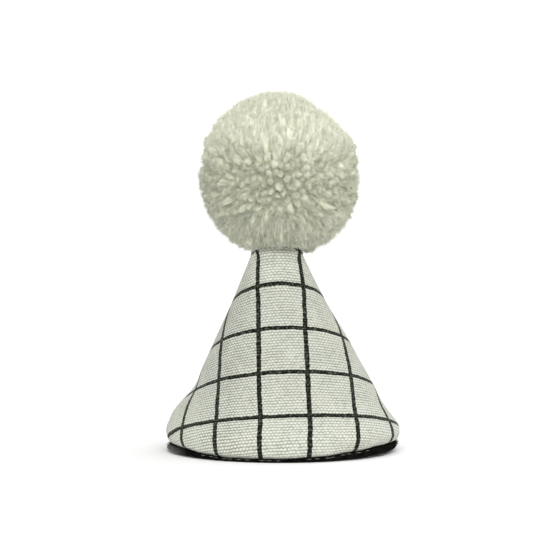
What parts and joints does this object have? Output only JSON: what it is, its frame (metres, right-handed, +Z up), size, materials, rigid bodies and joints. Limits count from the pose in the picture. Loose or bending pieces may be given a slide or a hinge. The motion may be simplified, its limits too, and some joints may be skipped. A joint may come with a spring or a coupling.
{
  "type": "party hat",
  "caption": "Small cone party hat of checked canvas, sewn onto a flat felt base, with a round yarn pompom on its tip.",
  "frame": {"origin": "centre of the hat's box at the underside of the felt base", "axes": "+Z up through the pompom, -Y towards the front that the picture shows, +X to its right"},
  "size_m": [0.0708, 0.0708, 0.108],
  "materials": {
    "canvas": "plain-weave cotton canvas with a dark printed windowpane check",
    "felt": "black pressed felt with a slightly fuzzy cut edge",
    "yarn": "cream acrylic yarn, cut ends trimmed to a ball"
  },
  "bodies": {
    "root": {"felt_base": "felt", "cone_cover": "canvas", "pompom": "yarn"}
  },
  "joints": []
}
